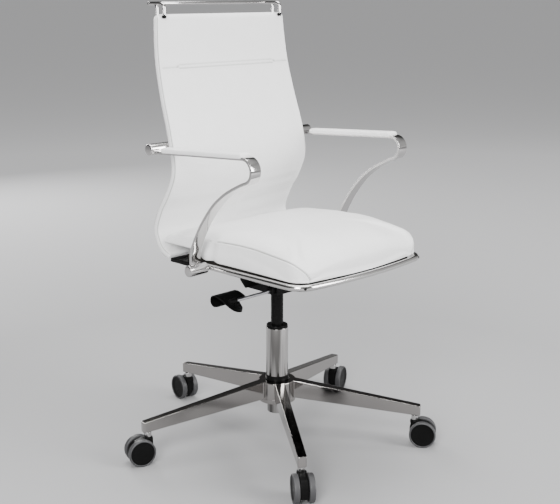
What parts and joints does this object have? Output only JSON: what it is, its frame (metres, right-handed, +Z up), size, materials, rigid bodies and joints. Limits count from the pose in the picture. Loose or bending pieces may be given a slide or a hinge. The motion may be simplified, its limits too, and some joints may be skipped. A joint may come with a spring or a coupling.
{
  "type": "swivel office armchair",
  "caption": "Swivel office armchair: chrome star base on twin-wheel casters, gas lift, tilting padded seat, curved high back, strap arms with padded rests, coat rail.",
  "frame": {"origin": "on the floor, under the middle of the bounding box", "axes": "+Z up; the chair faces -Y; +X is the sitter's left"},
  "size_m": [0.7016, 0.6694, 0.983],
  "materials": {
    "polished_aluminium": "polished",
    "chrome": "polished",
    "black_plastic": "satin",
    "black_steel": "satin",
    "zinc_steel": "satin",
    "grey_tread": "matte",
    "white_leatherette": "satin",
    "seat_padding": "satin",
    "plywood": "matte"
  },
  "bodies": {
    "base": {"star_base": "polished_aluminium", "column_tube": "chrome", "guide_bush": "black_plastic", "hub_collar": "black_plastic", "retaining_clip": "zinc_steel", "piston_rod": "zinc_steel", "caster_stem_1": "chrome", "caster_stem_2": "chrome", "caster_stem_3": "chrome", "caster_stem_4": "chrome", "caster_stem_5": "chrome"},
    "lift": {"gas_cylinder": "black_steel"},
    "valve": {"release_valve": "zinc_steel"},
    "swivel": {"mechanism_housing": "black_steel", "tilt_axle": "zinc_steel", "torsion_spring": "zinc_steel"},
    "lock": {"lever_bush": "black_plastic"},
    "lever": {"lever_rod": "chrome", "lever_paddle": "black_plastic"},
    "seat": {"mounting_bracket": "black_steel", "bracket_bolt_1": "zinc_steel", "bracket_bolt_2": "zinc_steel", "bracket_bolt_3": "zinc_steel", "bracket_bolt_4": "zinc_steel", "seat_pan": "black_plastic", "seat_board": "plywood", "seat_tube": "chrome", "seat_cushion": "seat_padding", "back_sheet": "white_leatherette", "back_bracket": "black_steel", "back_bolt_1": "zinc_steel", "back_bolt_2": "zinc_steel", "coat_rail": "chrome", "arm_strap_left": "chrome", "arm_strap_right": "chrome", "arm_pad_left": "white_leatherette", "arm_pad_right": "white_leatherette", "lower_boss_left": "chrome", "lower_boss_right": "chrome", "back_crossbar": "chrome"},
    "caster_1": {"caster_hood_1": "black_plastic", "caster_axle_1": "zinc_steel"},
    "wheel_left_body_1": {"wheel_left_1": "grey_tread"},
    "wheel_right_body_1": {"wheel_right_1": "grey_tread"},
    "caster_2": {"caster_hood_2": "black_plastic", "caster_axle_2": "zinc_steel"},
    "wheel_left_body_2": {"wheel_left_2": "grey_tread"},
    "wheel_right_body_2": {"wheel_right_2": "grey_tread"},
    "caster_3": {"caster_hood_3": "black_plastic", "caster_axle_3": "zinc_steel"},
    "wheel_left_body_3": {"wheel_left_3": "grey_tread"},
    "wheel_right_body_3": {"wheel_right_3": "grey_tread"},
    "caster_4": {"caster_hood_4": "black_plastic", "caster_axle_4": "zinc_steel"},
    "wheel_left_body_4": {"wheel_left_4": "grey_tread"},
    "wheel_right_body_4": {"wheel_right_4": "grey_tread"},
    "caster_5": {"caster_hood_5": "black_plastic", "caster_axle_5": "zinc_steel"},
    "wheel_left_body_5": {"wheel_left_5": "grey_tread"},
    "wheel_right_body_5": {"wheel_right_5": "grey_tread"}
  },
  "joints": [
    {"name": "height", "type": "slide", "parent": "base", "child": "lift", "axis": [0, 0, 1], "range_m": [-0.075, 0.03]},
    {"name": "valve_press", "type": "slide", "parent": "lift", "child": "valve", "axis": [0, 0, -1], "range_m": [0, 0.0048]},
    {"name": "swivel", "type": "hinge", "parent": "lift", "child": "swivel", "pos_m": [0, -0.0299, 0.354], "axis": [0, 0, 1], "continuous": true},
    {"name": "tilt", "type": "hinge", "parent": "swivel", "child": "seat", "pos_m": [0, -0.0599, 0.384], "axis": [-1, 0, 0], "range_deg": [0, 12], "stiffness_Nm_per_rad": 50, "springref_deg": -20.05},
    {"name": "tilt_lock", "type": "slide", "parent": "swivel", "child": "lock", "axis": [-1, 0, 0], "range_m": [0, 0.005]},
    {"name": "lever_lift", "type": "hinge", "parent": "lock", "child": "lever", "pos_m": [-0.0475, -0.0659, 0.3635], "axis": [0, 1, 0], "range_deg": [0, 5], "stiffness_Nm_per_rad": 2, "springref_deg": -11.46},
    {"name": "caster_swivel_1", "type": "hinge", "parent": "base", "child": "caster_1", "pos_m": [-0.18474, -0.28417, 0.06], "axis": [0, 0, 1], "continuous": true},
    {"name": "wheel_spin_left_1", "type": "hinge", "parent": "caster_1", "child": "wheel_left_body_1", "pos_m": [-0.19542, -0.29866, 0.03], "axis": [0.8049, -0.5934, 0], "continuous": true},
    {"name": "wheel_spin_right_1", "type": "hinge", "parent": "caster_1", "child": "wheel_right_body_1", "pos_m": [-0.19542, -0.29866, 0.03], "axis": [0.8049, -0.5934, 0], "continuous": true},
    {"name": "caster_swivel_2", "type": "hinge", "parent": "base", "child": "caster_2", "pos_m": [0.18474, -0.28417, 0.06], "axis": [0, 0, 1], "continuous": true},
    {"name": "wheel_spin_left_2", "type": "hinge", "parent": "caster_2", "child": "wheel_left_body_2", "pos_m": [0.19522, -0.29881, 0.03], "axis": [0.8131, 0.5821, 0], "continuous": true},
    {"name": "wheel_spin_right_2", "type": "hinge", "parent": "caster_2", "child": "wheel_right_body_2", "pos_m": [0.19522, -0.29881, 0.03], "axis": [0.8131, 0.5821, 0], "continuous": true},
    {"name": "caster_swivel_3", "type": "hinge", "parent": "base", "child": "caster_3", "pos_m": [0.29892, 0.06722, 0.06], "axis": [0, 0, 1], "continuous": true},
    {"name": "wheel_spin_left_3", "type": "hinge", "parent": "caster_3", "child": "wheel_left_body_3", "pos_m": [0.31557, 0.07405, 0.03], "axis": [-0.3795, 0.9252, 0], "continuous": true},
    {"name": "wheel_spin_right_3", "type": "hinge", "parent": "caster_3", "child": "wheel_right_body_3", "pos_m": [0.31557, 0.07405, 0.03], "axis": [-0.3795, 0.9252, 0], "continuous": true},
    {"name": "caster_swivel_4", "type": "hinge", "parent": "base", "child": "caster_4", "pos_m": [0, 0.2844, 0.06], "axis": [0, 0, 1], "continuous": true},
    {"name": "wheel_spin_left_4", "type": "hinge", "parent": "caster_4", "child": "wheel_left_body_4", "pos_m": [0.00257, 0.30222, 0.03], "axis": [-0.9898, 0.1426, 0], "continuous": true},
    {"name": "wheel_spin_right_4", "type": "hinge", "parent": "caster_4", "child": "wheel_right_body_4", "pos_m": [0.00257, 0.30222, 0.03], "axis": [-0.9898, 0.1426, 0], "continuous": true},
    {"name": "caster_swivel_5", "type": "hinge", "parent": "base", "child": "caster_5", "pos_m": [-0.29892, 0.06722, 0.06], "axis": [0, 0, 1], "continuous": true},
    {"name": "wheel_spin_left_5", "type": "hinge", "parent": "caster_5", "child": "wheel_left_body_5", "pos_m": [-0.31577, 0.07356, 0.03], "axis": [-0.3518, -0.9361, 0], "continuous": true},
    {"name": "wheel_spin_right_5", "type": "hinge", "parent": "caster_5", "child": "wheel_right_body_5", "pos_m": [-0.31577, 0.07356, 0.03], "axis": [-0.3518, -0.9361, 0], "continuous": true}
  ],
  "couplings": [
    {"joint": "valve_press", "follows": "lever_lift", "m_per_rad": 0.0525}
  ]
}
